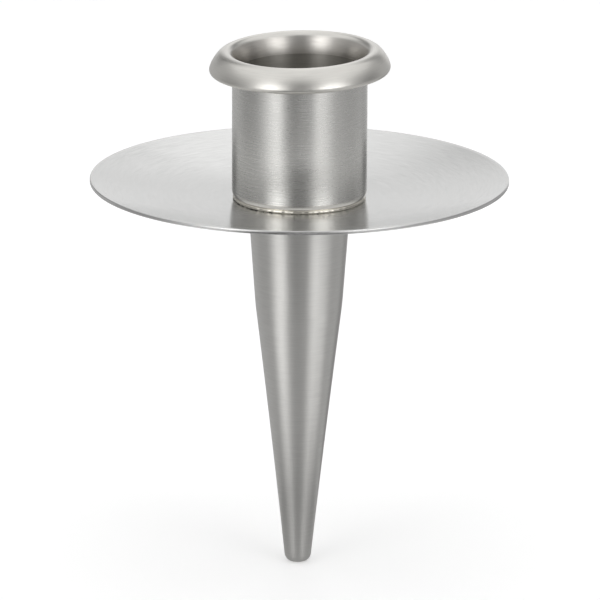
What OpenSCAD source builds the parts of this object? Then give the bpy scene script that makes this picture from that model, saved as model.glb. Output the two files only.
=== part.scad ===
// Candle holder for one taper candle: a rolled-rim cup on a dished drip pan, with a tapered plug
// below it that stands in the neck of a bottle. All pieces are of stainless steel and share one
// axis. The origin is on that axis, at the underside of the drip pan, and +Z points up.

/* [Candle cup] */
// Bore of the cup, for a candle with a foot of 22 mm
bore_d = 23; // [20:0.5:26]
// Height of the cup, from its foot to the crest of the rim
cup_h = 27.3; // [24:0.1:34]
// Wall of the cup above its heel, where drawing has thinned the sheet
cup_wall = 0.6; // [0.5:0.05:0.7]
// Outer radius of the bottom corner
cup_corner_r = 1.6; // [1.2:0.05:2]
// How far the heel, which keeps the full thickness of the sheet, reaches above the screw's head
heel_margin = 0.65; // [0.4:0.05:1.5]
// Height over which the wall thins above the heel
heel_blend_h = 0.6; // [0.4:0.1:1]

/* [Rolled rim] */
// How far the mouth flares out from the bore to the crest
flare_w = 1.75; // [1.5:0.05:2.2]
// Height of the flare, from the end of the straight bore to the crest
flare_h = 3.8; // [3.2:0.1:5]
// Radius of the flare just inside the crest
lip_r = 1.2; // [1:0.05:1.4]
// Radius of the skin just outside the crest
crest_r = 2; // [1.6:0.1:2.6]
// Width of the brim, from the crest to its outermost edge
brim_w = 2.95; // [2.6:0.05:4]
// Height of the brim, from its underside to the crest
brim_h = 4.05; // [3.6:0.05:5]
// Radius of the gentle bow of the brim, between the crest and the edge
brim_bow_r = 6; // [4:0.5:12]
// Outer radius of the turned-under edge
edge_r = 0.75; // [0.7:0.05:1]
// Gap between the end of the rolled sheet and the wall
curl_gap = 0.15; // [0.1:0.05:0.4]

/* [Drip pan] */
// Diameter of the pan
pan_d = 75; // [60:1:100]
// Thickness of the sheet of the pan, and of the floor and heel of the cup
sheet_t = 0.7; // [0.6:0.05:0.8]
// How far the flat seat reaches beyond the wall of the cup
seat_margin = 0.4; // [0.2:0.1:2]
// Rise of the pan from its seat to its edge
dish_rise = 3.75; // [3:0.05:6]
// How far the dish sags below a straight cone
dish_sag = 0.7; // [0:0.05:0.9]
// Rounding of the bare edge of the sheet
edge_round = 0.2; // [0.1:0.05:0.25]

/* [Solder bead] */
// Radius of the bead's face, which closes the corner between the cup and the pan
bead_r = 0.3; // [0.2:0.05:0.4]
// How far the face of the bead lies inside the wall of the cup
bead_inset = 0.12; // [0.05:0.01:0.2]
// Width of the bead, from its face to its root in the corner
bead_w = 0.8; // [0.6:0.05:1]

/* [Spike] */
// Diameter of the spike where it meets the pan, for a bottle neck of 18.5 mm
spike_d = 18.4; // [16:0.2:22]
// Length of the spike below the pan
spike_len = 67.25; // [50:0.25:90]
// Depth of the knee, where the taper steepens
knee_depth = 19; // [16:0.2:24]
// Taper above the knee, in degrees from the axis
upper_taper = 4.2; // [2:0.1:6]
// Length over which the knee is softened
knee_blend = 3; // [1:0.5:6]
// Diameter where the rounding of the tip starts
tip_d = 4.8; // [4:0.1:6]
// Radius of the rounding of the tip
tip_r = 1.6; // [1.2:0.1:1.9]
// How far the lower taper hollows in from a straight cone
taper_sag = 0.1; // [0:0.02:0.2]
// Wall of the spike
spike_wall = 0.7; // [0.5:0.05:0.9]

/* [Insert and screw] */
// Metal left in the turned insert below the point of its tapped hole
plug_floor = 0.7; // [0.5:0.1:2]
// How far the insert lies below the edge of the spike, so that the edge is clamped tight
plug_recess = 0.2; // [0.1:0.05:0.4]
// Solder gap between the insert and the spike
solder_gap = 0.05; // [0.02:0.01:0.1]
// Diameter of the screw
screw_d = 5; // [4:0.5:6]
// Length of the screw under its head
screw_len = 12; // [9:0.5:13]
// Diameter of the head
head_d = 9.5; // [9:0.25:11.5]
// Height of the head
head_h = 2.75; // [2.4:0.05:3]
// Width across the flats of the hexagonal socket
socket_w = 3; // [2.5:0.1:4]
// Depth of the socket
socket_depth = 1.55; // [1.2:0.05:1.8]
// Width of the flat ring round the corners of the socket
socket_land = 0.3; // [0.2:0.05:0.6]
// Clearance round the screw in the cup and the pan, on the radius
hole_clearance = 0.25; // [0.1:0.05:0.5]
// Clearance between the screw and the threads of the insert, on the radius
thread_clearance = 0.05; // [0.02:0.01:0.1]
// Depth of the tapped hole past the end of the screw
tap_margin = 1; // [0.5:0.1:1.2]

/* [Lock washer] */
// Outer diameter of the washer
washer_d = 10; // [9.6:0.1:12]
// Thickness of the washer
washer_t = 0.6; // [0.4:0.05:0.8]
// Number of teeth round the edge of the washer
washer_teeth = 10; // [8:1:14]
// Depth of the notches between the teeth
notch_depth = 1; // [0.6:0.1:1.2]
// Width of the notches
notch_w = 1; // [0.6:0.1:1.4]

/* [Hidden] */
$fn = 96;
// Overrun of a cut past the face that it leaves
cut = 0.5;
// Steps in a small arc, and in the long sweeps of the dish and the spike
arc_steps = 10;
sweep_steps = 16;
// A full turn, a right angle and half of the angle of a drill point, in degrees
full_turn = 360;
square_angle = 90;
drill_half_angle = 59;

// Cup, from its axis out and its foot up
bore_r = bore_d / 2;
cup_r = bore_r + cup_wall;
foot_z = sheet_t;
floor_z = foot_z + sheet_t;
crest_z = foot_z + cup_h;
head_z = floor_z + washer_t;
heel_top = head_z + head_h + heel_margin;
bore_low = heel_top + heel_blend_h;
bore_high = crest_z - flare_h;
mouth_r = bore_r + flare_w;
brim_r = mouth_r + brim_w;
hole_r = screw_d / 2 + hole_clearance;

// The flare is two arcs that meet smoothly: a wide one that leaves the bore upright, and lip_r
flare_r = (flare_w * flare_w + flare_h * flare_h - 2 * flare_h * lip_r) / (2 * (flare_w - lip_r));
flare_centre = [bore_r + flare_r, bore_high];
lip_centre = [mouth_r, crest_z - lip_r];
flare_angle = atan2(lip_centre.y - flare_centre.y, lip_centre.x - flare_centre.x);

// The brim is three arcs that meet smoothly: the crest, a wide bow and the edge. The bow's centre
// is found from its distances to the other two centres.
crest_centre = [mouth_r, crest_z - crest_r];
edge_centre = [brim_r - edge_r, crest_z - brim_h + edge_r];
brim_span = norm(edge_centre - crest_centre);
brim_way = (edge_centre - crest_centre) / brim_span;
bow_to_crest = brim_bow_r - crest_r;
bow_to_edge = brim_bow_r - edge_r;
bow_along = (bow_to_crest * bow_to_crest - bow_to_edge * bow_to_edge + brim_span * brim_span)
    / (2 * brim_span);
bow_aside = sqrt(bow_to_crest * bow_to_crest - bow_along * bow_along);
bow_centre = crest_centre + bow_along * brim_way + bow_aside * [brim_way.y, -brim_way.x];
bow_start = atan2(crest_centre.y - bow_centre.y, crest_centre.x - bow_centre.x);
bow_end = atan2(edge_centre.y - bow_centre.y, edge_centre.x - bow_centre.x);

// Pan
pan_r = pan_d / 2;
seat_r = cup_r + seat_margin;

// The rounding of the cup's bottom corner, and the bead that fills the corner below it. The bead's
// face meets the rounding at bead_meet, and its root lies under the rounding at bead_root_r.
corner_centre = [cup_r - cup_corner_r, foot_z + cup_corner_r];
bead_centre = [cup_r - bead_inset - bead_r, foot_z + bead_r];
bead_span = norm(bead_centre - corner_centre);
bead_way = atan2(bead_centre.y - corner_centre.y, bead_centre.x - corner_centre.x);
bead_meet = bead_way + acos((bead_span * bead_span + cup_corner_r * cup_corner_r - bead_r * bead_r)
    / (2 * bead_span * cup_corner_r));
bead_top = corner_centre + cup_corner_r * [cos(bead_meet), sin(bead_meet)];
bead_top_angle = atan2(bead_top.y - bead_centre.y, bead_top.x - bead_centre.x);
bead_root_r = cup_r - bead_inset - bead_w;
bead_root = -acos((bead_root_r - corner_centre.x) / cup_corner_r);

// Spike: two tapers that meet at the knee, and a tip whose rounding touches the lower one
spike_r = spike_d / 2;
knee_r = spike_r - knee_depth * tan(upper_taper);
lower_taper = atan((knee_r - tip_d / 2) / (spike_len - knee_depth));
tip_centre = [tip_d / 2 - tip_r * cos(lower_taper), -spike_len + tip_r];
taper_low = tip_centre.y - tip_r * sin(lower_taper);
blend_top = -knee_depth + knee_blend / 2;
blend_low = -knee_depth - knee_blend / 2;

// Screw and the insert that it holds
screw_end = head_z - screw_len;
tap_r = screw_d / 2 + thread_clearance;
tap_low = screw_end - tap_margin;
tap_point = tap_low - tap_r / tan(drill_half_angle);
plug_low = tap_point - plug_floor;

// Points of an arc about a centre, from one angle to another. An arc that carries straight on
// from the one before leaves out its first point.
function arc(centre, r, from, to, carries_on = false) = [
    for (i = [carries_on ? 1 : 0 : arc_steps])
        let (a = from + (to - from) * i / arc_steps)
            [centre.x + r * cos(a), centre.y + r * sin(a)]
];

// A list of points from its last to its first
function reversed(points) = [for (i = [len(points) - 1 : -1 : 0]) points[i]];

// The skin of the rolled rim, at a depth below the surface that shows: up the flare, over the
// crest, down the brim and round its edge
function rim_skin(depth) = concat(
    arc(flare_centre, flare_r - depth, 2 * square_angle, flare_angle),
    arc(lip_centre, lip_r - depth, flare_angle, square_angle, carries_on = true),
    arc(crest_centre, crest_r - depth, square_angle, bow_start, carries_on = true),
    arc(bow_centre, brim_bow_r - depth, bow_start, bow_end, carries_on = true),
    arc(edge_centre, edge_r - depth, bow_end, -square_angle, carries_on = true)
);

// Height of the dish above its seat, at a share of the way from the seat to the edge
function dish_z(share) = dish_rise * share - 4 * dish_sag * share * (1 - share);

// Radius of the spike at a height below the pan, with the knee left sharp
function sharp_r(z) = z > -knee_depth
    ? spike_r + z * tan(upper_taper)
    : let (share = (z + knee_depth) / (taper_low + knee_depth))
        knee_r + (tip_d / 2 - knee_r) * share - 4 * taper_sag * share * (1 - share);

// Radius of the spike where the knee is softened, by a parabola that touches both tapers
function blended_r(share) =
    (1 - share) * (1 - share) * sharp_r(blend_top)
    + 2 * share * (1 - share) * knee_r
    + share * share * sharp_r(blend_low);

// Outline of the spike from its top to its tip, moved in by a depth
function spike_side(depth) = concat(
    [[spike_r - depth, 0]],
    [
        for (i = [0 : arc_steps])
            [blended_r(i / arc_steps) - depth, blend_top + (blend_low - blend_top) * i / arc_steps]
    ],
    [
        for (i = [1 : sweep_steps])
            let (z = blend_low + (taper_low - blend_low) * i / sweep_steps)
                [sharp_r(z) - depth, z]
    ],
    [for (p = arc(tip_centre, tip_r - depth, -lower_taper, -square_angle)) if (p.y < taper_low) p]
);

// Drawn cup: floor, heel, thinned wall and hollow rolled rim in one sheet
module candle_cup() {
    inner_corner_r = cup_corner_r - sheet_t;
    color("silver")
        rotate_extrude()
            polygon(concat(
                [[hole_r, foot_z]],
                arc(corner_centre, cup_corner_r, -square_angle, 0),
                rim_skin(cup_wall),
                [[cup_r + curl_gap, crest_z - brim_h + cup_wall]],
                [[cup_r + curl_gap, crest_z - brim_h]],
                reversed(rim_skin(0)),
                [[bore_r, bore_low], [cup_r - sheet_t, heel_top]],
                reversed(arc(corner_centre, inner_corner_r, -square_angle, 0)),
                [[hole_r, floor_z]]
            ));
}

// Dished sheet disc with a rounded bare edge, flat where the cup stands
module drip_pan() {
    dish_w = pan_r - seat_r - edge_round;
    rise = [for (i = [0 : sweep_steps]) [seat_r + dish_w * i / sweep_steps, dish_z(i / sweep_steps)]];
    rim_low = [pan_r - edge_round, dish_rise + edge_round];
    rim_high = [pan_r - edge_round, dish_rise + sheet_t - edge_round];
    color("gainsboro")
        rotate_extrude()
            polygon(concat(
                [[hole_r, 0]],
                rise,
                arc(rim_low, edge_round, -square_angle, 0),
                arc(rim_high, edge_round, 0, square_angle),
                reversed([for (p = rise) [p.x, p.y + sheet_t]]),
                [[hole_r, sheet_t]]
            ));
}

// Bead of solder that closes the corner between the cup and the pan
module solder_bead() {
    color("lightgray")
        rotate_extrude()
            polygon(concat(
                [[bead_root_r, foot_z]],
                arc(bead_centre, bead_r, -square_angle, bead_top_angle),
                arc(corner_centre, cup_corner_r, bead_meet, bead_root, carries_on = true)
            ));
}

// Hollow spike with a closed, rounded tip
module spike_shell() {
    color("silver")
        rotate_extrude()
            polygon(concat(
                spike_side(0),
                [[0, -spike_len]],
                [[0, -spike_len + spike_wall]],
                reversed(spike_side(spike_wall))
            ));
}

// Turned insert in the top of the spike, with a tapped blind hole
module spike_plug() {
    inset = spike_wall + solder_gap;
    low_r = sharp_r(plug_low) - inset;
    high_r = sharp_r(-plug_recess) - inset;
    color("darkgray")
        difference() {
            translate([0, 0, plug_low])
                cylinder(h = -plug_recess - plug_low, r1 = low_r, r2 = high_r);
            translate([0, 0, tap_low])
                cylinder(h = cut - tap_low, r = tap_r);
            translate([0, 0, tap_point])
                cylinder(h = tap_low - tap_point, r1 = 0, r2 = tap_r);
        }
}

// Button-head screw with a hexagonal socket, threads left plain
module clamp_screw() {
    // The head is a slice of a ball that meets the rim of the head above a short upright edge
    head_edge = head_h / 5;
    socket_r = socket_w / sqrt(3);
    land_r = socket_r + socket_land;
    dome_w = head_d / 2 - land_r;
    dome_h = head_h - head_edge;
    dome_r = (dome_w * dome_w + dome_h * dome_h) / (2 * dome_h);
    dome_angle = asin(dome_w / dome_r);
    dome_centre = [land_r, head_z + head_h - dome_r];
    chamfer = screw_d / 10;
    color("lightslategray")
        difference() {
            rotate_extrude()
                polygon(concat(
                    [[0, screw_end], [screw_d / 2 - chamfer, screw_end]],
                    [[screw_d / 2, screw_end + chamfer]],
                    [[screw_d / 2, head_z], [head_d / 2, head_z]],
                    arc(dome_centre, dome_r, square_angle - dome_angle, square_angle),
                    [[0, head_z + head_h]]
                ));
            translate([0, 0, head_z + head_h - socket_depth])
                cylinder(h = socket_depth + cut, r = socket_r, $fn = 6);
        }
}

// Toothed lock washer under the head of the screw
module lock_washer() {
    color("gray")
        difference() {
            translate([0, 0, floor_z])
                cylinder(h = washer_t, r = washer_d / 2);
            translate([0, 0, floor_z - cut])
                cylinder(h = washer_t + 2 * cut, r = hole_r);
            for (i = [0 : washer_teeth - 1])
                rotate([0, 0, full_turn * i / washer_teeth])
                    translate([washer_d / 2 - notch_depth, -notch_w / 2, floor_z - cut])
                        cube([notch_depth + cut, notch_w, washer_t + 2 * cut]);
        }
}

candle_cup();
drip_pan();
solder_bead();
spike_shell();
spike_plug();
clamp_screw();
lock_washer();
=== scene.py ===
# %% [markdown]
# # A brushed steel candle holder
#
# The object is a candle holder of stainless steel that stands in the neck of a bottle: a drawn cup with
# a rolled rim, a thin dished drip pan, and a long blunt spike. All three are round about one upright
# axis and were brushed on a turning spindle, most of their skin with an abrasive belt, so their fine
# scratches run in circles round that axis. The lesson has two halves: shapes that are an outline turned
# about an axis, and a metal whose look comes from circular scratches and from what it reflects.

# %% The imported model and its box
import math

import bpy
import numpy as np
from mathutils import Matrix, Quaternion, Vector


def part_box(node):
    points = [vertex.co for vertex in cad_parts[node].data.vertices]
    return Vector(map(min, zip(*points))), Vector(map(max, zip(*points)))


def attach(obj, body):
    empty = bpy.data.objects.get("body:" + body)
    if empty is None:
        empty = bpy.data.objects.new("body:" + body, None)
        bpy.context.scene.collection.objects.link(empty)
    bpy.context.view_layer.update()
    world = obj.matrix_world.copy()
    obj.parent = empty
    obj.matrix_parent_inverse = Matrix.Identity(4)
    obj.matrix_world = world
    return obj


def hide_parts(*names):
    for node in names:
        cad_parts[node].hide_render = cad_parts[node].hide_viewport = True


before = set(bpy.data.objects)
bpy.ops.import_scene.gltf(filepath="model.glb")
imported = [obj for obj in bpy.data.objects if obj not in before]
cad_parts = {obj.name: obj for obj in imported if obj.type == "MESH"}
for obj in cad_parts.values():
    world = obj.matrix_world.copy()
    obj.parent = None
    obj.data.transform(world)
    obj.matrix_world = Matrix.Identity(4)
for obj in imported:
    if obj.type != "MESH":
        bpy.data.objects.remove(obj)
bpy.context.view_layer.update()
MM = 0.001

# %% [markdown]
# The frame gives the outer sizes: the box of each node. What a box can't say, such as a wall or the
# radius of an arc, is a named value below, in the same real sizes as the construction.

# %% Sizes from the frame
cup_low, cup_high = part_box("candle_cup")
_, pan_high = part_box("drip_pan")
spike_low, spike_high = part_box("spike_shell")
_, head_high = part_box("clamp_screw")
crest_z = cup_high.z
brim_r = cup_high.x
foot_z = cup_low.z
pan_r = pan_high.x
edge_high = pan_high.z
spike_r = spike_high.x
spike_len = -spike_low.z
print("crest", crest_z / MM, "brim", brim_r / MM, "pan", pan_r / MM)
print("spike", spike_r / MM, "by", spike_len / MM)

# %% Sizes of the sheet and its bends
sheet_t = 0.7 * MM
cup_wall = 0.6 * MM
hole_r = 2.75 * MM
flare_w = 1.75 * MM
flare_h = 3.8 * MM
lip_r = 1.2 * MM
crest_r = 2 * MM
edge_r = 0.75 * MM
brim_bow_r = 6 * MM
brim_w = 2.95 * MM
brim_h = 4.05 * MM
curl_gap = 0.15 * MM
cup_corner_r = 1.6 * MM
# Reach of the thick heel above the screw's head, and the height over which the wall thins above it
heel_margin = 0.65 * MM
heel_blend_h = 0.6 * MM
# Reach of the pan's flat seat beyond the wall of the cup
seat_margin = 0.4 * MM
mouth_r = brim_r - brim_w
bore_r = mouth_r - flare_w
cup_r = bore_r + cup_wall
print("bore", 2 * bore_r / MM, "mm across, cup", 2 * cup_r / MM, "mm across")

# %% [markdown]
# A turned shape needs only its outline, a chain of points given as radius and height. Most stretches
# are straight runs and arcs, because sheet bends in arcs, and the pan and the spike add parabolas. The
# arc and the run are each written once, as a function, and an outline joins its stretches end to end.

# %% Points of an outline
same_point = 1e-7


def toward(start, end):
    """The direction from one point to another, in degrees: the arc tangent of rise over run."""
    return math.degrees(math.atan2(end[1] - start[1], end[0] - start[0]))


def arc(centre, radius, start, end, steps=14):
    """Points on a circle: centre plus radius times (cos a, sin a), for a from start to end in degrees."""
    angle = np.radians(np.linspace(start, end, steps + 1))
    return np.column_stack([centre[0] + radius * np.cos(angle), centre[1] + radius * np.sin(angle)])


def run(start, end, steps=1):
    """Points that divide a straight line evenly: start plus a share of the way from start to end."""
    share = np.linspace(0, 1, steps + 1)[:, None]
    return np.asarray(start) + share * (np.asarray(end) - np.asarray(start))


def chain(*stretches):
    """The stretches in one list, with a point left out where it repeats the one before it."""
    points = np.vstack(stretches)
    step = np.linalg.norm(np.diff(points, axis=0), axis=1)
    return points[np.append(True, step > same_point)]


# %% [markdown]
# Turning the outline gives a grid: one way along the outline, the other way round the axis. The grid is
# worked out as whole arrays. Each piece also keeps the distance along its outline as an attribute,
# because the scratches of its finish follow that distance round every bend.

# %% A surface of revolution
on_axis = 1e-9
sharp_degrees = 32


def turned(name, outline, turns=288, shape=None, zone=None):
    """Turns an outline about Z: x = r cos a, y = r sin a, z = height, for angles a that share a full turn.

    An outline that starts and ends on the axis closes with two poles, and any other closes on itself.
    shape, if given, changes the grid of radii and heights before it becomes points. zone, if given, tells
    the number of the finish for each stretch of the outline, from the radius and height of its middle.
    """
    poles = outline[0][0] < on_axis and outline[-1][0] < on_axis
    rings = outline[1:-1] if poles else outline
    count = len(rings)
    angle = np.linspace(0, 2 * np.pi, turns, endpoint=False)
    radius, angles = np.meshgrid(rings[:, 0], angle, indexing="ij")
    height = np.repeat(rings[:, 1][:, None], turns, axis=1)
    if shape is not None:
        radius, height = shape(radius, angles, height)
    x, y = radius * np.cos(angles), radius * np.sin(angles)
    points = np.stack([x, y, height], axis=-1).reshape(-1, 3)

    last = count - 1 if poles else count
    row, column = np.meshgrid(np.arange(last), np.arange(turns), indexing="ij")
    row, column = row.ravel(), column.ravel()
    row_next, column_next = (row + 1) % count, (column + 1) % turns
    quads = np.stack([
        row * turns + column, row * turns + column_next,
        row_next * turns + column_next, row_next * turns + column,
    ], axis=1)
    faces = quads.tolist()
    if poles:
        here = np.arange(turns)
        after = (here + 1) % turns
        top = (count - 1) * turns
        pole = np.full(turns, len(points))
        faces += np.stack([pole, after, here], axis=1).tolist()
        faces += np.stack([pole + 1, top + here, top + after], axis=1).tolist()
        points = np.vstack([points, [0, 0, outline[0][1]], [0, 0, outline[-1][1]]])

    mesh = bpy.data.meshes.new(name)
    mesh.from_pydata(points.tolist(), [], faces)
    travel = np.concatenate([[0], np.cumsum(np.linalg.norm(np.diff(rings, axis=0), axis=1))])
    along = np.repeat(travel, turns)
    if poles:
        along = np.concatenate([along, [0, travel[-1]]])
    mesh.attributes.new("along", "FLOAT", "POINT").data.foreach_set("value", along.astype(np.float32))
    obj = bpy.data.objects.new(name, mesh)
    bpy.context.scene.collection.objects.link(obj)
    mesh.polygons.foreach_set("use_smooth", np.ones(len(mesh.polygons), dtype=bool))
    if zone is not None:
        middle = (rings + np.roll(rings, -1, axis=0)) / 2
        finish = zone(middle[:, 0], middle[:, 1])[row]
        mesh.polygons.foreach_set("material_index", finish.astype(np.int32))
    mesh.set_sharp_from_angle(angle=math.radians(sharp_degrees))
    mesh.update()
    print(name, len(points), "points,", len(faces), "faces")
    return obj


# %% [markdown]
# The cup is one drawn sheet. Its mouth flares out, goes over a soft crest, slopes down a brim and turns
# under at the edge, where the end of the sheet comes back to the wall: a hollow rolled rim. The skin
# that shows and the side that doesn't are the same five arcs, one wall apart. Arcs that meet smoothly
# have their centres on one line with the meeting point, so the centre of the brim's wide bow is found
# from its distances to the centres of the crest and of the edge.

# %% The rolled rim
bore_high = crest_z - flare_h
flare_r = (flare_w**2 + flare_h**2 - 2 * flare_h * lip_r) / (2 * (flare_w - lip_r))
flare_centre = np.array([bore_r + flare_r, bore_high])
lip_centre = np.array([mouth_r, crest_z - lip_r])
crest_centre = np.array([mouth_r, crest_z - crest_r])
edge_centre = np.array([brim_r - edge_r, crest_z - brim_h + edge_r])
flare_angle = toward(flare_centre, lip_centre)
brim_span = np.linalg.norm(edge_centre - crest_centre)
brim_way = (edge_centre - crest_centre) / brim_span
bow_to_crest = brim_bow_r - crest_r
bow_to_edge = brim_bow_r - edge_r
bow_along = (bow_to_crest**2 - bow_to_edge**2 + brim_span**2) / (2 * brim_span)
bow_aside = math.sqrt(bow_to_crest**2 - bow_along**2)
bow_centre = crest_centre + bow_along * brim_way + bow_aside * np.array([brim_way[1], -brim_way[0]])
bow_start = toward(bow_centre, crest_centre)
bow_end = toward(bow_centre, edge_centre)


def rim_skin(depth):
    """The rim at a depth below its skin: each arc keeps its centre, and its radius is less by the depth."""
    return chain(
        arc(flare_centre, flare_r - depth, 180, flare_angle),
        arc(lip_centre, lip_r - depth, flare_angle, 90),
        arc(crest_centre, crest_r - depth, 90, bow_start),
        arc(bow_centre, brim_bow_r - depth, bow_start, bow_end, 20),
        arc(edge_centre, edge_r - depth, bow_end, -90),
    )


print("flare radius", round(flare_r / MM, 2), "mm")
print("bow from", round(bow_start, 1), "to", round(bow_end, 1), "degrees")

# %% The cup
floor_z = foot_z + sheet_t
heel_top = head_high.z + heel_margin
bore_low = heel_top + heel_blend_h
corner_centre = np.array([cup_r - cup_corner_r, foot_z + cup_corner_r])
curl_r = cup_r + curl_gap
underside_z = crest_z - brim_h
cup_outline = chain(
    run([hole_r, foot_z], [cup_r - cup_corner_r, foot_z], 4),
    arc(corner_centre, cup_corner_r, -90, 0),
    run([cup_r, foot_z + cup_corner_r], [cup_r, bore_high], 24),
    rim_skin(cup_wall),
    [[curl_r, underside_z + cup_wall], [curl_r, underside_z]],
    rim_skin(0)[::-1],
    run([bore_r, bore_high], [bore_r, bore_low], 12),
    run([cup_r - sheet_t, heel_top], [cup_r - sheet_t, foot_z + cup_corner_r], 3),
    arc(corner_centre, cup_corner_r - sheet_t, 0, -90, 8),
    [[hole_r, floor_z]],
)


# Slopes of the rim toward its right and its back, and where on the lip the flare's finish ends
rim_rise_right = 0.022
rim_rise_back = 0.018
flare_end_share = 0.95


def tilt_rim(radius, angles, height):
    """Hand-rolled, so a little higher on one side: height gains radius times a slope, full at the brim."""
    share = np.clip((height - bore_low) / (underside_z - bore_low), 0, 1)
    lean = rim_rise_right * np.cos(angles) + rim_rise_back * np.sin(angles)
    return radius, height + share**2 * radius * lean


def cup_zone(radius, height):
    """Finish of the cup: 0 on the wall, 1 on the rim, 2 inside, 3 on the flare, and 4 on the foot."""
    # Zones 2 and 3 carry painted shade in their colours, and zone 4 a painted highlight
    inside = (radius < bore_r + cup_wall / 2) & (height < bore_high) & (height > foot_z + sheet_t / 2)
    flare = (radius < mouth_r - flare_end_share * lip_r) & (height > bore_high)
    foot = height < foot_z + cup_corner_r
    return np.select([inside, flare, height > underside_z, foot], [2, 3, 1, 4], 0)


candle_cup = turned("candle_cup_drawn", cup_outline, shape=tilt_rim, zone=cup_zone)

# %% [markdown]
# The cup is silver-soldered to the pan. The solder fills the narrow corner under the cup's rounding and
# ends in a thin round face just inside the wall. It was wiped while it ran, so the face isn't quite
# even: it swells and thins by a few hundredths of a millimetre on its way round.

# %% The solder bead
bead_r = 0.3 * MM
bead_inset = 0.12 * MM
bead_w = 0.8 * MM
wipe_depth = 0.06 * MM
wipe_waves = (17, 29, 43, 61)
wipe_seed = 7
bead_centre = np.array([cup_r - bead_inset - bead_r, foot_z + bead_r])
bead_span = np.linalg.norm(bead_centre - corner_centre)
bead_cosine = (bead_span**2 + cup_corner_r**2 - bead_r**2) / (2 * bead_span * cup_corner_r)
bead_meet = toward(corner_centre, bead_centre) + math.degrees(math.acos(bead_cosine))
bead_top = arc(corner_centre, cup_corner_r, bead_meet, bead_meet, 1)[0]
bead_root_r = cup_r - bead_inset - bead_w
bead_root = -math.degrees(math.acos((bead_root_r - corner_centre[0]) / cup_corner_r))
bead_outline = chain(
    [[bead_root_r, foot_z]],
    arc(bead_centre, bead_r, -90, toward(bead_centre, bead_top), 10),
    arc(corner_centre, cup_corner_r, bead_meet, bead_root, 8),
)


def wiped(radius, angles, height):
    """Moves the outer face in by a depth that varies round the axis: sine waves with random phases."""
    random = np.random.default_rng(wipe_seed)
    swell = np.zeros(angles.shape[1])
    for waves in wipe_waves:
        swell += np.sin(waves * angles[0] + random.uniform(0, 2 * np.pi)) / len(wipe_waves)
    outer = np.clip((radius - bead_centre[0]) / bead_r, 0, 1)
    return radius + wipe_depth * outer * (swell - 1), height


solder_bead = turned("solder_bead_wiped", bead_outline, turns=720, shape=wiped)

# %% [markdown]
# The drip pan is a disc of the same sheet. It is flat where the cup stands and then rises in a shallow
# dish, whose section is a parabola: it starts gently and is steepest at the edge, so that wax stays in.

# %% The drip pan
seat_r = cup_r + seat_margin
edge_round = 0.2 * MM
dish_rise = edge_high - sheet_t
dish_sag = 0.7 * MM
dish_share = np.linspace(0, 1, 49)
dish_line = np.column_stack([
    seat_r + (pan_r - edge_round - seat_r) * dish_share,
    dish_rise * dish_share - 4 * dish_sag * dish_share * (1 - dish_share),
])
pan_outline = chain(
    run([hole_r, 0], [seat_r, 0], 6),
    dish_line,
    arc([pan_r - edge_round, dish_rise + edge_round], edge_round, -90, 0, 6),
    arc([pan_r - edge_round, edge_high - edge_round], edge_round, 0, 90, 6),
    dish_line[::-1] + [0, sheet_t],
    run([seat_r, sheet_t], [hole_r, sheet_t], 6),
)
drip_pan = turned("drip_pan_spun", pan_outline, turns=360)

# %% [markdown]
# The spike has two tapers that meet in a soft knee, then a rounded tip. The lower taper is hollowed by
# a tenth of a millimetre, as belt polishing leaves it. It is a shell, closed at the tip, so its outline
# starts on the axis outside and ends on the axis inside.

# %% The spike
knee_depth = 19 * MM
upper_taper = math.radians(4.2)
knee_blend = 3 * MM
tip_side_r = 2.4 * MM
tip_r = 1.6 * MM
taper_sag = 0.1 * MM
spike_wall = 0.7 * MM
knee_r = spike_r - knee_depth * math.tan(upper_taper)
lower_taper = math.atan((knee_r - tip_side_r) / (spike_len - knee_depth))
tip_centre = np.array([tip_side_r - tip_r * math.cos(lower_taper), tip_r - spike_len])
taper_low = tip_centre[1] - tip_r * math.sin(lower_taper)


def spike_side(depth):
    """The side from top to tip, moved in by a depth: two tapers, a parabola at the knee, and an arc."""
    def sharp(z):
        """Radius with a sharp knee: a straight taper above it and a slightly hollow one below it."""
        share = (z + knee_depth) / (taper_low + knee_depth)
        lower = knee_r + (tip_side_r - knee_r) * share - 4 * taper_sag * share * (1 - share)
        return np.where(z > -knee_depth, spike_r + z * math.tan(upper_taper), lower)

    blend_top, blend_low = -knee_depth + knee_blend / 2, -knee_depth - knee_blend / 2
    share = np.linspace(0, 1, 13)
    soft = (1 - share) ** 2 * sharp(blend_top) + 2 * share * (1 - share) * knee_r
    soft += share**2 * sharp(blend_low)
    upper_z = np.linspace(0, blend_top, 16)
    lower_z = np.linspace(blend_low, taper_low, 40)
    sides = np.vstack([
        np.column_stack([sharp(upper_z), upper_z]),
        np.column_stack([soft, blend_top + (blend_low - blend_top) * share]),
        np.column_stack([sharp(lower_z), lower_z]),
    ]) - [depth, 0]
    tip = arc(tip_centre, tip_r - depth, -math.degrees(lower_taper), -90)
    return chain(sides, tip[tip[:, 1] < taper_low])


tip_flat_r = tip_centre[0]
spike_outline = chain(
    run([0, -spike_len], [tip_flat_r, -spike_len], 4),
    spike_side(0)[::-1],
    spike_side(spike_wall),
    run([tip_flat_r, spike_wall - spike_len], [0, spike_wall - spike_len], 4),
)
spike_shell = turned("spike_shell_spun", spike_outline, turns=192)

# %% [markdown]
# Colours are written as the sRGB hex values that a screen shows. The renderer works in linear light, so
# one function turns the first into the second.

# %% Colour and node helpers
def linear(hex_colour):
    """sRGB hex to linear RGBA: v becomes ((v + 0.055) / 1.055)^2.4, or v / 12.92 where it is dark."""
    v = np.array([int(hex_colour[i:i + 2], 16) for i in (1, 3, 5)]) / 255
    return (*np.where(v > 0.04045, ((v + 0.055) / 1.055) ** 2.4, v / 12.92).tolist(), 1.0)


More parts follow.
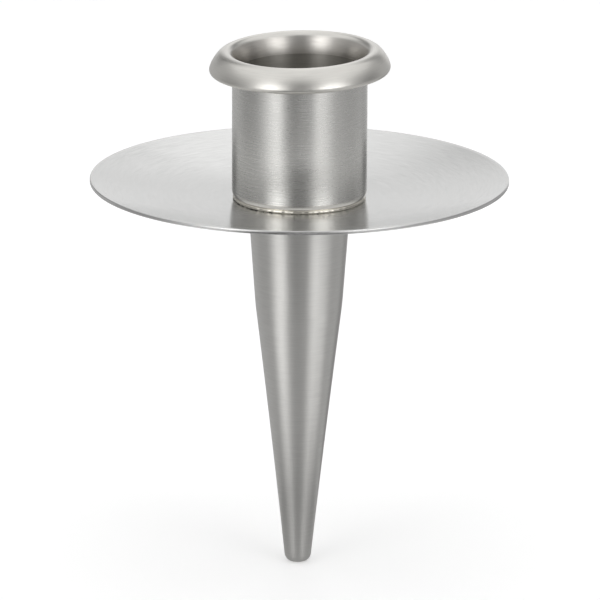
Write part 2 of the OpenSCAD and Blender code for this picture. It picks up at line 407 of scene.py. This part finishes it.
def put(tree, kind, inputs=None, **settings):
    """Adds a node of a kind, sets its settings, and gives each named input a value or a link."""
    node = tree.nodes.new(kind)
    for name, value in settings.items():
        setattr(node, name, value)
    for name, value in (inputs or {}).items():
        if isinstance(value, bpy.types.NodeSocket):
            tree.links.new(value, node.inputs[name])
        else:
            node.inputs[name].default_value = value
    return node


def new_material(name):
    """An empty node material and its tree."""
    material = bpy.data.materials.new(name)
    material.use_nodes = True
    material.node_tree.nodes.clear()
    return material, material.node_tree


# %% [markdown]
# Brushed stainless steel is a mirror with fine scratches. Light that meets a scratch is spread across
# it and hardly along it, so on a spindle-brushed piece each highlight is drawn out up and down, and
# stays narrow round the piece. In the shader that is anisotropy, with its direction set by the Tangent
# node, which runs round the axis. The scratches themselves are a noise that is long round the axis and
# very short along the outline. Every scratch is a little duller and darker than the skin beside it.

# %% Brushed stainless steel
# Most values of a noise lie between these two
noise_low, noise_high = 0.3, 0.7
# How far a scratch and a soft cloud change the roughness, and how many clouds go in a metre
scratch_gloss = 0.04
cloud_gloss = 0.015
cloud_scale = 90.0
# Strength and depth of a scratch, and the turn that lays the highlights across the scratches
scratch_strength = 0.03
scratch_depth = 0.02 * MM
across_scratches = 0.25
# Places of the colour inputs and the colour output on a Mix node
mix_first, mix_second, mix_out = 6, 7, 2


def brushed_steel(name, colour, roughness, anisotropy, scratch_mm=0.2, streak_mm=3.4, contrast=0.032):
    """Steel brushed round its axis: a noise stretched that way gives scratches their tone and gloss."""
    material, tree = new_material(name)
    place = put(tree, "ShaderNodeTexCoord")
    apart = put(tree, "ShaderNodeSeparateXYZ", {0: place.outputs["Object"]})
    along = put(tree, "ShaderNodeAttribute", attribute_name="along")
    slow = 1 / (streak_mm * MM)
    fast = 1 / (scratch_mm * MM)
    x = put(tree, "ShaderNodeMath", {0: apart.outputs["X"], 1: slow}, operation="MULTIPLY")
    y = put(tree, "ShaderNodeMath", {0: apart.outputs["Y"], 1: slow}, operation="MULTIPLY")
    z = put(tree, "ShaderNodeMath", {0: along.outputs["Fac"], 1: fast}, operation="MULTIPLY")
    stretched = put(tree, "ShaderNodeCombineXYZ", {
        "X": x.outputs[0], "Y": y.outputs[0], "Z": z.outputs[0],
    })
    scratches = put(tree, "ShaderNodeTexNoise", {
        "Vector": stretched.outputs[0], "Scale": 1.0, "Detail": 2.0, "Roughness": 0.55,
    })
    cloudy = put(tree, "ShaderNodeTexNoise", {
        "Vector": place.outputs["Object"], "Scale": cloud_scale, "Detail": 2.0, "Roughness": 0.5,
    })
    rough = put(tree, "ShaderNodeMapRange", {
        "Value": scratches.outputs["Fac"], "From Min": noise_low, "From Max": noise_high,
        "To Min": roughness + scratch_gloss, "To Max": roughness - scratch_gloss,
    })
    rougher = put(tree, "ShaderNodeMapRange", {
        "Value": cloudy.outputs["Fac"], "From Min": noise_low, "From Max": noise_high,
        "To Min": -cloud_gloss, "To Max": cloud_gloss,
    })
    total = put(tree, "ShaderNodeMath", {0: rough.outputs[0], 1: rougher.outputs[0]}, operation="ADD")
    tone = put(tree, "ShaderNodeMapRange", {
        "Value": scratches.outputs["Fac"], "From Min": noise_low, "From Max": noise_high,
        "To Min": 1 - contrast, "To Max": 1 + contrast,
    })
    base = put(tree, "ShaderNodeMix", {
        mix_first: linear(colour), mix_second: tone.outputs[0], "Factor": 1.0,
    }, data_type="RGBA", blend_type="MULTIPLY")
    depth = put(tree, "ShaderNodeBump", {
        "Height": scratches.outputs["Fac"], "Strength": scratch_strength, "Distance": scratch_depth,
    })
    tangent = put(tree, "ShaderNodeTangent", direction_type="RADIAL", axis="Z")
    metal = put(tree, "ShaderNodeBsdfPrincipled", {
        "Base Color": base.outputs[mix_out], "Metallic": 1.0, "Roughness": total.outputs[0],
        "Anisotropic": anisotropy, "Anisotropic Rotation": across_scratches,
        "Normal": depth.outputs[0], "Tangent": tangent.outputs[0],
    })
    put(tree, "ShaderNodeOutputMaterial", {"Surface": metal.outputs[0]})
    return material


# Wall of the cup: coarse belt, which gives two long soft highlights
cup_steel = brushed_steel("brushed stainless steel, cup", "#D5D4D1", 0.28, 0.78)
# Rim: rolled over a polished tool, so its highlights are round and few scratches show
rim_steel = brushed_steel("rolled stainless steel, rim", "#D8D6D1", 0.33, 0.5, contrast=0.03)
# Flare inside the lip: pressed open by a turning cone, which draws the highlights down into the cup
# Its colour is a little darker than the wall's: painted shade inside the lip
flare_steel_painted_shade = brushed_steel("pressed stainless steel, flare, painted shade", "#D0CDC8", 0.34, 0.8, contrast=0.03)
# Inside of the cup: the dull skin that drawing leaves. Its colour, darker than any brushed side, is
# painted shade inside the cup
bore_steel_painted_shade = brushed_steel("drawn stainless steel, inside, painted shade", "#A7A49E", 0.38, 0.93, contrast=0.06)
# Foot: the belt doesn't reach round the corner, so it keeps the gloss of the drawing tool
# Its colour is lighter than the wall's: a painted highlight that brightens the glints on the foot
foot_steel_painted_highlight = brushed_steel("drawn stainless steel, foot, painted highlight", "#E4E2DD", 0.17, 0.6, contrast=0.02)
# Pan: fine belt, so that it mirrors the cup and the white behind it
pan_steel = brushed_steel("brushed stainless steel, pan", "#D2D2D1", 0.2, 0.78, contrast=0.022)
# Spike: the same belt as the cup
spike_steel = brushed_steel("brushed stainless steel, spike", "#D5D4D1", 0.33, 0.86)
# Insert in the spike: turned on a lathe, with finer and closer grooves
turned_steel = brushed_steel("turned steel, insert", "#BDBBB6", 0.3, 0.6, scratch_mm=0.12, streak_mm=12.0)

# %% [markdown]
# Solder and the screw aren't brushed. Solder that was wiped while hot has a smooth, slightly warm skin
# with soft unevenness, and a rolled and plated screw is evenly dull.

# %% Plain metals
grain_gloss = 0.05
grain_strength = 0.5
# The dashes of painted shade start where the noise passes the first value, and are full at the second
dash_start, dash_full = 0.58, 0.68


def plain_metal(name, colour, roughness, grain_mm, depth_mm):
    """Metal without a direction: one noise of the given grain makes its gloss and its surface uneven."""
    material, tree = new_material(name)
    place = put(tree, "ShaderNodeTexCoord")
    grain = put(tree, "ShaderNodeTexNoise", {
        "Vector": place.outputs["Object"], "Scale": 1 / (grain_mm * MM), "Detail": 2.0, "Roughness": 0.5,
    })
    rough = put(tree, "ShaderNodeMapRange", {
        "Value": grain.outputs["Fac"], "From Min": noise_low, "From Max": noise_high,
        "To Min": roughness - grain_gloss, "To Max": roughness + grain_gloss,
    })
    uneven = put(tree, "ShaderNodeBump", {
        "Height": grain.outputs["Fac"], "Strength": grain_strength, "Distance": depth_mm * MM,
    })
    metal = put(tree, "ShaderNodeBsdfPrincipled", {
        "Base Color": linear(colour), "Metallic": 1.0,
        "Roughness": rough.outputs[0], "Normal": uneven.outputs[0],
    })
    put(tree, "ShaderNodeOutputMaterial", {"Surface": metal.outputs[0]})
    return material, metal


def shade_bead_root(material, metal, colour, height, spot_mm, lean):
    """Painted shade in dark dashes at the root of the bead, in the crease where it meets the pan: a noise
    breaks it up, less lean times x.

    The root is dark up to half of the height and unshaded above the height. A positive lean leaves more
    on the left, where x is negative.
    """
    tree = material.node_tree
    place = put(tree, "ShaderNodeTexCoord")
    apart = put(tree, "ShaderNodeSeparateXYZ", {0: place.outputs["Object"]})
    low = put(tree, "ShaderNodeMapRange", {
        "Value": apart.outputs["Z"], "From Min": foot_z + height, "From Max": foot_z + height / 2,
    }, interpolation_type="SMOOTHSTEP")
    spots = put(tree, "ShaderNodeTexNoise", {
        "Vector": place.outputs["Object"], "Scale": 1 / (spot_mm * MM), "Detail": 1.0, "Roughness": 0.5,
    })
    leaning = put(tree, "ShaderNodeMath", {0: apart.outputs["X"], 1: -lean, 2: spots.outputs["Fac"]},
                  operation="MULTIPLY_ADD")
    dashes = put(tree, "ShaderNodeMapRange", {
        "Value": leaning.outputs[0], "From Min": dash_start, "From Max": dash_full,
    })
    root_shade = put(tree, "ShaderNodeMath", {0: low.outputs[0], 1: dashes.outputs[0]}, operation="MULTIPLY")
    tinted = put(tree, "ShaderNodeMix", {
        0: root_shade.outputs[0], mix_first: metal.inputs["Base Color"].default_value[:],
        mix_second: linear(colour),
    }, data_type="RGBA")
    unshaded = put(tree, "ShaderNodeMath", {0: 1.0, 1: root_shade.outputs[0]}, operation="SUBTRACT")
    tree.links.new(tinted.outputs[mix_out], metal.inputs["Base Color"])
    tree.links.new(unshaded.outputs[0], metal.inputs["Metallic"])


solder, solder_metal = plain_metal("silver solder, wiped", "#D6D2C8", 0.22, 0.8, 0.05)
# Painted shade in the crease at the root of the bead: dark, not metallic, and more of it on the left
shade_bead_root(solder, solder_metal, "#26231F", 0.2 * MM, 0.9, lean=17.0)
screw_steel, _ = plain_metal("zinc-plated steel, screw", "#B9B8B4", 0.32, 0.4, 0.01)

# %% Finishes on the pieces
for piece, materials, node, slot in (
    (candle_cup, (cup_steel, rim_steel, bore_steel_painted_shade, flare_steel_painted_shade, foot_steel_painted_highlight), "candle_cup", "cup_steel"),
    (drip_pan, (pan_steel,), "drip_pan", "pan_steel"),
    (solder_bead, (solder,), "solder_bead", "solder"),
    (spike_shell, (spike_steel,), "spike_shell", "spike_steel"),
):
    for material in materials:
        piece.data.materials.append(material)
    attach(piece, "root")
    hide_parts(node)

for node, material in (
    ("spike_plug", turned_steel),
    ("clamp_screw", screw_steel),
    ("lock_washer", screw_steel),
):
    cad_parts[node].data.materials.clear()
    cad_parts[node].data.materials.append(material)

# %% [markdown]
# The photograph was taken from far away with a long lens, a little above the pan, and the camera was
# turned by a quarter of a degree. The camera looks at a point below the pan, close to the axis.

# %% The camera
view_pitch = 0.270
view_roll = 0.0045
view_distance = 1.5
view_focal = 5.588
view_right = -0.2 * MM
view_down = 18.09 * MM
view_up = -0.25 * MM
picture_px = 600
sensor_mm = 36
clip_near = 0.01
clip_far = 20
ahead = np.array([0, math.cos(view_pitch), -math.sin(view_pitch)])
down = np.array([0, -math.sin(view_pitch), -math.cos(view_pitch)])
camera_data = bpy.data.cameras.new("camera")
camera_data.sensor_width = sensor_mm
camera_data.lens = view_focal * view_distance / MM * sensor_mm / picture_px
camera_data.clip_start = clip_near
camera_data.clip_end = clip_far
camera = bpy.data.objects.new("camera", camera_data)
camera.location = np.array([-view_right, 0, sheet_t + view_up]) + view_down * down - view_distance * ahead
pitched = Quaternion((1, 0, 0), math.pi / 2 - view_pitch)
rolled = Quaternion((0, 0, 1), view_roll)
camera.rotation_euler = (pitched @ rolled).to_euler()
bpy.context.scene.collection.objects.link(camera)
bpy.context.scene.camera = camera
print("lens", round(camera_data.lens, 1), "mm, eye at", np.round(np.array(camera.location), 4))

# %% [markdown]
# The floor is white and keeps the soft shadow of the pan and the tip. A part of its white is its own
# glow and the rest is light that falls on it, so that the shadow stays pale. The world is white as well,
# for the camera, for the metal and for light that goes through a surface.

# %% Floor and background
ground_z = spike_low.z


def stage_piece(name, points, faces, material):
    """A piece of the studio from its points and faces, linked to the scene and to no body of the object."""
    mesh = bpy.data.meshes.new(name)
    mesh.from_pydata(points, [], faces)
    mesh.materials.append(material)
    obj = bpy.data.objects.new(name, mesh)
    bpy.context.scene.collection.objects.link(obj)
    return obj


floor_half = 3.0
floor_glow = 0.28
floor_tone = 0.95
# The world as the surfaces get light from it, and as the camera and the metal see it
sky_light, sky_seen = 0.95, 1.0
floor_white, tree = new_material("white studio floor")
glow = put(tree, "ShaderNodeEmission", {"Color": (1, 1, 1, 1), "Strength": floor_glow})
matt = put(tree, "ShaderNodeBsdfDiffuse", {"Color": (floor_tone, floor_tone, floor_tone, 1)})
both = put(tree, "ShaderNodeAddShader", {0: glow.outputs[0], 1: matt.outputs[0]})
put(tree, "ShaderNodeOutputMaterial", {"Surface": both.outputs[0]})
corners = [(-1, -1), (1, -1), (1, 1), (-1, 1)]
floor_points = [(x * floor_half, y * floor_half, ground_z) for x, y in corners]
stage_piece("floor", floor_points, [(0, 1, 2, 3)], floor_white)

world = bpy.data.worlds.new("white studio")
bpy.context.scene.world = world
world.use_nodes = True
tree = world.node_tree
tree.nodes.clear()
path = put(tree, "ShaderNodeLightPath")
seen = put(tree, "ShaderNodeMath", {0: path.outputs["Is Camera Ray"], 1: path.outputs["Is Glossy Ray"]},
           operation="MAXIMUM")
seen = put(tree, "ShaderNodeMath", {0: seen.outputs[0], 1: path.outputs["Is Transmission Ray"]},
           operation="MAXIMUM")
level = put(tree, "ShaderNodeMapRange", {
    "Value": seen.outputs[0], "To Min": sky_light, "To Max": sky_seen,
})
sky = put(tree, "ShaderNodeBackground", {"Color": (1, 1, 1, 1), "Strength": level.outputs[0]})
put(tree, "ShaderNodeOutputWorld", {"Surface": sky.outputs[0]})
bpy.context.scene.view_settings.view_transform = "Standard"

# %% [markdown]
# Polished metal has little to show but its surroundings, so the surroundings are built: a tent, lit as
# a photographer would light it. Two bright soft boxes in front draw the two long highlights. Dark cards
# between them and at the sides keep the middle and the edges of the cup dark, and behind and above the
# tent is white. The camera looks down a little, so the upright wall of the cup and the spike mirror
# the floor, and cloths and cards lie there too. Each card is a rectangle in two angles, round the
# object from the camera's side and up from a point on its axis halfway up the object, with soft edges,
# and it covers the cards before it in the list. Where light has to come from was first found by fitting
# a studio to the photograph's tones. The cards were then set in round numbers near what that showed,
# and judged by comparing renders.

# %% The cards of the tent
tent_grey = 0.5
cards = (
    # round from, round to, up from, up to, glow, softness round, softness up
    ("ceiling", -180, 180, 35, 110, 1.0, 10, 10),
    ("back corner, right", 140, 165, 15, 45, 0.2, 10, 10),
    ("back corner, left", -165, -140, 15, 45, 0.2, 10, 10),
    ("floor behind, right", 130, 160, -50, -10, 0.3, 10, 10),
    ("white behind", 170, 185, -60, 55, 1.3, 15, 10),
    ("window behind", 155, 195, -5, 25, 0.9, 10, 15),
    ("dark card, left", -115, -75, -10, 20, 0.3, 30, 25),
    ("dark card, right", 80, 115, 0, 25, 0.2, 30, 25),
    ("soft box, left", -50, 0, 5, 30, 3.5, 35, 10),
    ("soft box, right", 20, 55, 5, 25, 3.5, 30, 10),
    ("camera's side", -25, 20, -5, 50, 0.25, 35, 10),
    ("dark cloth before the object", -30, 25, -20, -2, 0.0, 15, 5),
    ("bright cloth, left", -55, -25, -7, -1, 2.4, 50, 5),
    ("bright cloth, right", -10, 45, -8, -5, 1.8, 35, 5),
    ("low card, left", -70, -40, -40, -20, 1.5, 30, 10),
    ("low card, right", 35, 80, -40, -20, 1.2, 30, 10),
    ("grey cloth under the object", -120, 120, -90, -55, 0.2, 60, 15),
    ("paler cloth at the tip", -180, 180, -95, -70, 0.4, 10, 10),
)


def ease(value, low, high):
    """Goes smoothly from 0 at low to 1 at high: t squared times (3 minus 2 t)."""
    t = np.clip((value - low) / (high - low), 0, 1)
    return t * t * (3 - 2 * t)


def card_share(value, start, end, soft):
    """1 from start to end and 0 outside, with soft edges: a rise at start times one minus a rise at end."""
    rise = ease(value, start - soft / 2, start + soft / 2)
    return rise * (1 - ease(value, end - soft / 2, end + soft / 2))


def tent_glow(around, up):
    """Glow of the tent at two angles: each card in turn moves it toward its own glow by its share there."""
    glow = np.full(around.shape, tent_grey)
    turns = (-360, 0, 360)
    for _, left, right, low, high, level, soft_around, soft_up in cards:
        across = sum(card_share(around + turn, left, right, soft_around) for turn in turns)
        glow += (level - glow) * across * card_share(up, low, high, soft_up)
    return glow


# %% The tent
tent_r = 900 * MM
eye_high = 50 * MM
cloth_lift = 0.1 * MM
cloth_hole = 1.5 * MM
tent_rings = 61
tent_columns = 181


def tent_piece(name, reach, lift, material):
    """A part of the tent, all round: points at each reach from the axis and each lift above the floor."""
    turn = np.linspace(-180, 180, tent_columns)
    around, step = np.meshgrid(turn, np.arange(len(reach)), indexing="ij")
    flat, high = reach[step], lift[step]
    angle = np.radians(around)
    points = np.stack([flat * np.sin(angle), -flat * np.cos(angle), ground_z + high], axis=-1)
    up = np.degrees(np.arctan2(high - eye_high, flat))
    rows, columns = around.shape
    row, column = np.meshgrid(np.arange(rows - 1), np.arange(columns - 1), indexing="ij")
    first = (row * columns + column).ravel()
    faces = np.stack([first, first + 1, first + columns + 1, first + columns], axis=1)
    piece = stage_piece(name, points.reshape(-1, 3).tolist(), faces.tolist(), material)
    glow = tent_glow(around, up).ravel().astype(np.float32)
    piece.data.attributes.new("glow", "FLOAT", "POINT").data.foreach_set("value", glow)
    piece.visible_camera = False
    piece.visible_shadow = False
    print(name, "glows from", round(float(glow.min()), 2), "to", round(float(glow.max()), 2))
    return piece


tent_cloth, tree = new_material("tent cloth and cards, lit")
glow_here = put(tree, "ShaderNodeAttribute", attribute_name="glow")
light = put(tree, "ShaderNodeEmission", {"Color": (1, 1, 1, 1), "Strength": glow_here.outputs["Fac"]})
put(tree, "ShaderNodeOutputMaterial", {"Surface": light.outputs[0]})
climb = np.radians(np.linspace(0, 90, tent_rings))
tent_piece("tent_walls", tent_r * np.cos(climb), tent_r * np.sin(climb), tent_cloth)
spread = cloth_hole * (tent_r / cloth_hole) ** np.linspace(0, 1, tent_rings)
cloth = tent_piece("tent_floor_cloth", spread, np.full(tent_rings, cloth_lift), tent_cloth)
cloth.visible_diffuse = False
